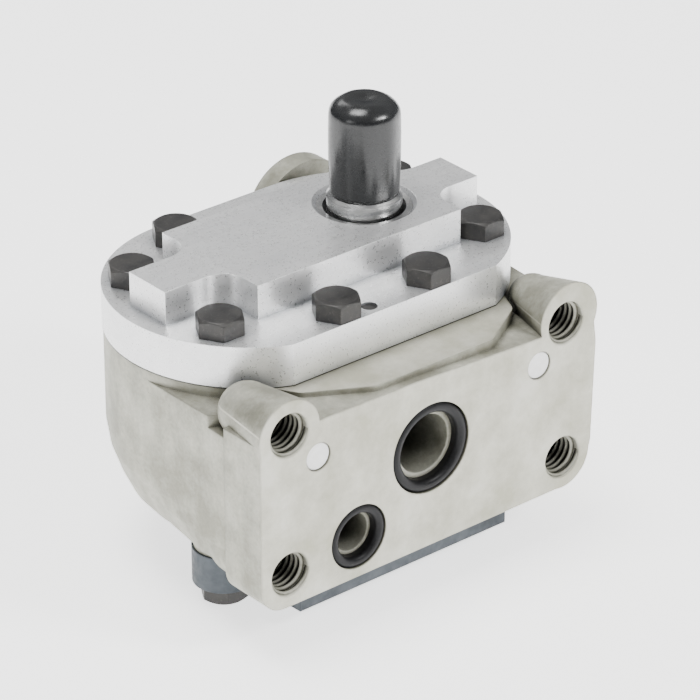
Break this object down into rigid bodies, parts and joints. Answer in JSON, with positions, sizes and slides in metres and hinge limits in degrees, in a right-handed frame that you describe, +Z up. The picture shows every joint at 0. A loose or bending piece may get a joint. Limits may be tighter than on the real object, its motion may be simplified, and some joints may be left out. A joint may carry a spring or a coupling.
{
  "type": "hydraulic gear pump",
  "caption": "External gear pump: cast body with a four-hole mounting face and two ports, stepped front cover, rear cover, splined drive shaft under a transit cap.",
  "frame": {"origin": "centre of the four mounting holes, on the mounting face", "axes": "-Y out of the mounting face, +X along the face's long side, +Z up along the drive shaft towards its splined end"},
  "size_m": [0.1268, 0.106, 0.1286],
  "materials": {
    "cast_aluminium": "satin",
    "milled_aluminium": "satin",
    "cast_iron": "matte",
    "ground_steel": "gloss",
    "black_steel": "satin",
    "bronze": "satin",
    "black_rubber": "matte",
    "black_vinyl": "gloss",
    "white_plastic": "matte"
  },
  "bodies": {
    "root": {"body": "cast_aluminium", "front_cover": "milled_aluminium", "rear_cover": "cast_iron", "front_bearing_block": "milled_aluminium", "rear_bearing_block": "milled_aluminium", "drive_front_bush": "bronze", "drive_rear_bush": "bronze", "driven_front_bush": "bronze", "driven_rear_bush": "bronze", "front_pressure_seal": "black_rubber", "rear_pressure_seal": "black_rubber", "front_body_seal": "black_rubber", "rear_body_seal": "black_rubber", "shaft_seal_case": "ground_steel", "shaft_seal_lip": "black_rubber", "seal_garter_spring": "ground_steel", "front_cover_screws": "black_steel", "rear_cover_screws": "black_steel", "front_dowels": "ground_steel", "rear_dowels": "ground_steel", "cover_pin": "black_steel", "suction_port_ring": "black_rubber", "pressure_port_ring": "black_rubber", "left_flange_plug": "white_plastic", "right_flange_plug": "white_plastic"},
    "drive_shaft": {"drive_gear_shaft": "ground_steel"},
    "driven_shaft": {"driven_gear_shaft": "ground_steel"},
    "cap": {"shaft_cap": "black_vinyl"}
  },
  "joints": [
    {"name": "drive_spin", "type": "hinge", "parent": "root", "child": "drive_shaft", "pos_m": [0.0231, 0.0564, -0.003], "axis": [0, 0, 1], "continuous": true},
    {"name": "driven_spin", "type": "hinge", "parent": "root", "child": "driven_shaft", "pos_m": [-0.0189, 0.0564, -0.003], "axis": [0, 0, 1], "continuous": true},
    {"name": "cap_pull", "type": "slide", "parent": "drive_shaft", "child": "cap", "axis": [0, 0, 1], "range_m": [0, 0.03]}
  ],
  "couplings": [
    {"joint": "driven_spin", "follows": "drive_spin", "ratio": -1}
  ]
}
